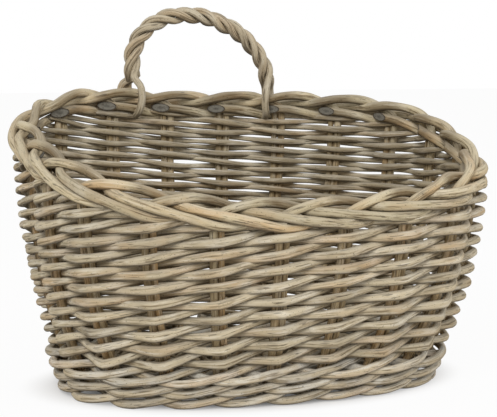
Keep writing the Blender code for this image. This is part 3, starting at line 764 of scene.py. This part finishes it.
# Hanging loop: three rods twisted together, parting at the border. A leg comes down past the border in
# steps, each a rise over its top or its underside and shares of the way out and of the spread between rods.
loop = {
    "rods": 3, "thick": 0.0064, "thinShare": 0.95, "left": 1.27, "right": -1.13, "rise": 0.0628,
    "lean": 0.011, "power": 2.02, "turns": 4, "steps": 60, "lineSteps": 400, "offset": 0.0040,
    "facing": 0.5, "parting": 0.013,
    "overBorder": ((0.0026, 1.0, 0.9), (-0.010, 1.0, 1.0)),
    "underBorder": ((0.007, 0.85, 0.7), (0.001, 0.1, 0.4)),
    "leftSpread": (-0.0022, 0.0048, -0.0015), "rightSpread": (0.0040, -0.0025, -0.0070),
}


def loopLeg(share, height, out=0.0, aside=0.0):
    place = share - rim["start"]
    along, outward = wallFrame(place, rimHeight(place))
    return np.append(ringAt(rimRing, place, rim["start"]), height) + outward * out + along * aside


def loopAxis(share):
    left, right = (loopLeg(loop[side], rimHeight(loop[side] - rim["start"]) + loop["parting"])
                   for side in ("left", "right"))
    angle = math.pi * (1.0 - share)
    across = math.copysign(abs(math.cos(angle)) ** (2.0 / loop["power"]), math.cos(angle))
    rise = max(math.sin(angle), 0.0) ** (2.0 / loop["power"])
    middle = 0.5 * (left + right) + 0.5 * (right - left) * across
    return middle + np.array([-loop["lean"] * rise, 0.0, (loop["rise"] - loop["parting"]) * rise])


# the first rod comes down inside the border, the others outside it
def legPoints(share, strand, spread):
    place = share - rim["start"]
    side = -1.0 if strand == 0 else 1.0
    past = side * (float(borderReach(place)) + border["stakeRadius"] + 0.5 * loop["thick"])
    under = float(borderHeight(place, border["depth"])) - border["stakeRadius"]
    points = []
    for level, steps in ((float(rimHeight(place)), loop["overBorder"]), (under, loop["underBorder"])):
        for rise, outShare, spreadShare in steps:
            points.append(loopLeg(share, level + rise, past * outShare, spread * spreadShare))
    return points


def loopRod(strand):
    line = np.array([loopAxis(share) for share in np.linspace(0.0, 1.0, loop["lineSteps"] + 1)])
    run = np.concatenate(([0.0], np.cumsum(np.linalg.norm(np.diff(line, axis=0), axis=1))))
    share = np.linspace(0.0, 1.0, loop["steps"] + 1)
    centre = np.stack([np.interp(share * run[-1], run, line[:, axis]) for axis in range(3)], axis=-1)
    ahead = unit(np.gradient(centre, axis=0))
    outward = wallFrame(loop["facing"], wall["backHeight"])[1]
    outward = unit(outward - ahead * (ahead @ outward)[:, None])
    side = np.cross(ahead, outward)
    angle = (fullTurn * (loop["turns"] * share + strand / loop["rods"]) + math.pi)[:, None]
    twisted = centre + (outward * np.cos(angle) + side * np.sin(angle)) * loop["offset"]
    points = legPoints(loop["left"], strand, loop["leftSpread"][strand])[::-1] + list(twisted)
    points += legPoints(loop["right"], strand, loop["rightSpread"][strand])
    return drawRod(points, loop["thick"], loop["thick"] * loop["thinShare"], 800 + strand,
                   bleach=0.4, cutAge=0.7)


for strand in range(loop["rods"]):
    node = f"loop_rod_{strand + 1}"
    addPiece(node + "_willow", [loopRod(strand)], loopBark, [node], "loop_willow")
print("loop drawn")

finishPieces()
print("rods made:", len(waiting))

# Stage: a pale floor, seen as white but for the shadow under the basket, and wide soft lights
stage = {
    "floor": "#EFEDEA", "floorHalf": 3.0, "floorLevel": -0.0005, "shade": (0.160, 0.098),
    "shadeFade": (0.8, 1.15), "shadeShare": 0.1, "whiteShare": 0.95, "ambient": 0.50,
    "aim": (0.0, 0.0, 0.1),
    "lights": (("key", (-1.5, -2.1, 1.8), 1.6, 46.0), ("fill", (2.1, -1.5, 1.1), 1.8, 17.0)),
}


def paintFloor():
    paint = bpy.data.materials.new("pale_floor_paint")
    paint.use_nodes = True
    tree = paint.node_tree
    tree.nodes.clear()
    wide, deep = stage["shade"]
    fadeStart, fadeEnd = stage["shadeFade"]
    matt = addNode(tree, "ShaderNodeBsdfDiffuse", {"Color": linear(stage["floor"])})
    glow = addNode(tree, "ShaderNodeEmission", {"Color": (1.0, 1.0, 1.0, 1.0), "Strength": 1.0})
    place = addNode(tree, "ShaderNodeTexCoord").outputs["Object"]
    scaled = addNode(tree, "ShaderNodeVectorMath", {0: place, 1: (1.0 / wide, 1.0 / deep, 0.0)},
                     operation="MULTIPLY")
    reach = addNode(tree, "ShaderNodeVectorMath", {0: scaled}, operation="LENGTH").outputs["Value"]
    white = addNode(tree, "ShaderNodeMapRange",
                    {"Value": reach, "From Min": fadeStart, "From Max": fadeEnd,
                     "To Min": stage["shadeShare"], "To Max": stage["whiteShare"]},
                    interpolation_type="SMOOTHSTEP")
    seen = addNode(tree, "ShaderNodeLightPath").outputs["Is Camera Ray"]
    share = addNode(tree, "ShaderNodeMath", {0: seen, 1: white}, operation="MULTIPLY")
    mixed = addNode(tree, "ShaderNodeMixShader", {0: share, 1: matt, 2: glow})
    # from below the floor is left out, so that the basket's base can be looked at
    below = addNode(tree, "ShaderNodeNewGeometry").outputs["Backfacing"]
    clear = addNode(tree, "ShaderNodeBsdfTransparent")
    mixed = addNode(tree, "ShaderNodeMixShader", {0: below, 1: mixed, 2: clear})
    addNode(tree, "ShaderNodeOutputMaterial", {"Surface": mixed})
    return paint


def makeFloor():
    half, level = stage["floorHalf"], stage["floorLevel"]
    mesh = bpy.data.meshes.new("floor")
    corners = [(-half, -half, level), (half, -half, level), (half, half, level), (-half, half, level)]
    mesh.from_pydata(corners, [], [(0, 1, 2, 3)])
    mesh.materials.append(paintFloor())
    floor = bpy.data.objects.new("floor", mesh)
    scene.collection.objects.link(floor)


# white where it is seen, and at the ambient strength where it only lights
def makeWorld():
    world = bpy.data.worlds.new("studio")
    world.use_nodes = True
    scene.world = world
    tree = world.node_tree
    tree.nodes.clear()
    path = addNode(tree, "ShaderNodeLightPath").outputs
    seen = addNode(tree, "ShaderNodeMath", {0: path["Is Camera Ray"], 1: path["Is Glossy Ray"]},
                   operation="MAXIMUM")
    strength = addNode(tree, "ShaderNodeMapRange",
                       {"Value": seen, "To Min": stage["ambient"], "To Max": 1.0})
    sky = addNode(tree, "ShaderNodeBackground", {"Color": (1.0, 1.0, 1.0, 1.0), "Strength": strength})
    addNode(tree, "ShaderNodeOutputWorld", {"Surface": sky})


def makeLights():
    for name, place, size, power in stage["lights"]:
        data = bpy.data.lights.new(name, "AREA")
        data.shape, data.size, data.energy = "DISK", size, power
        light = bpy.data.objects.new(name, data)
        light.location = place
        light.rotation_euler = (Vector(stage["aim"]) - Vector(place)).to_track_quat("-Z", "Y").to_euler()
        scene.collection.objects.link(light)


makeFloor()
makeWorld()
makeLights()
print("stage set")
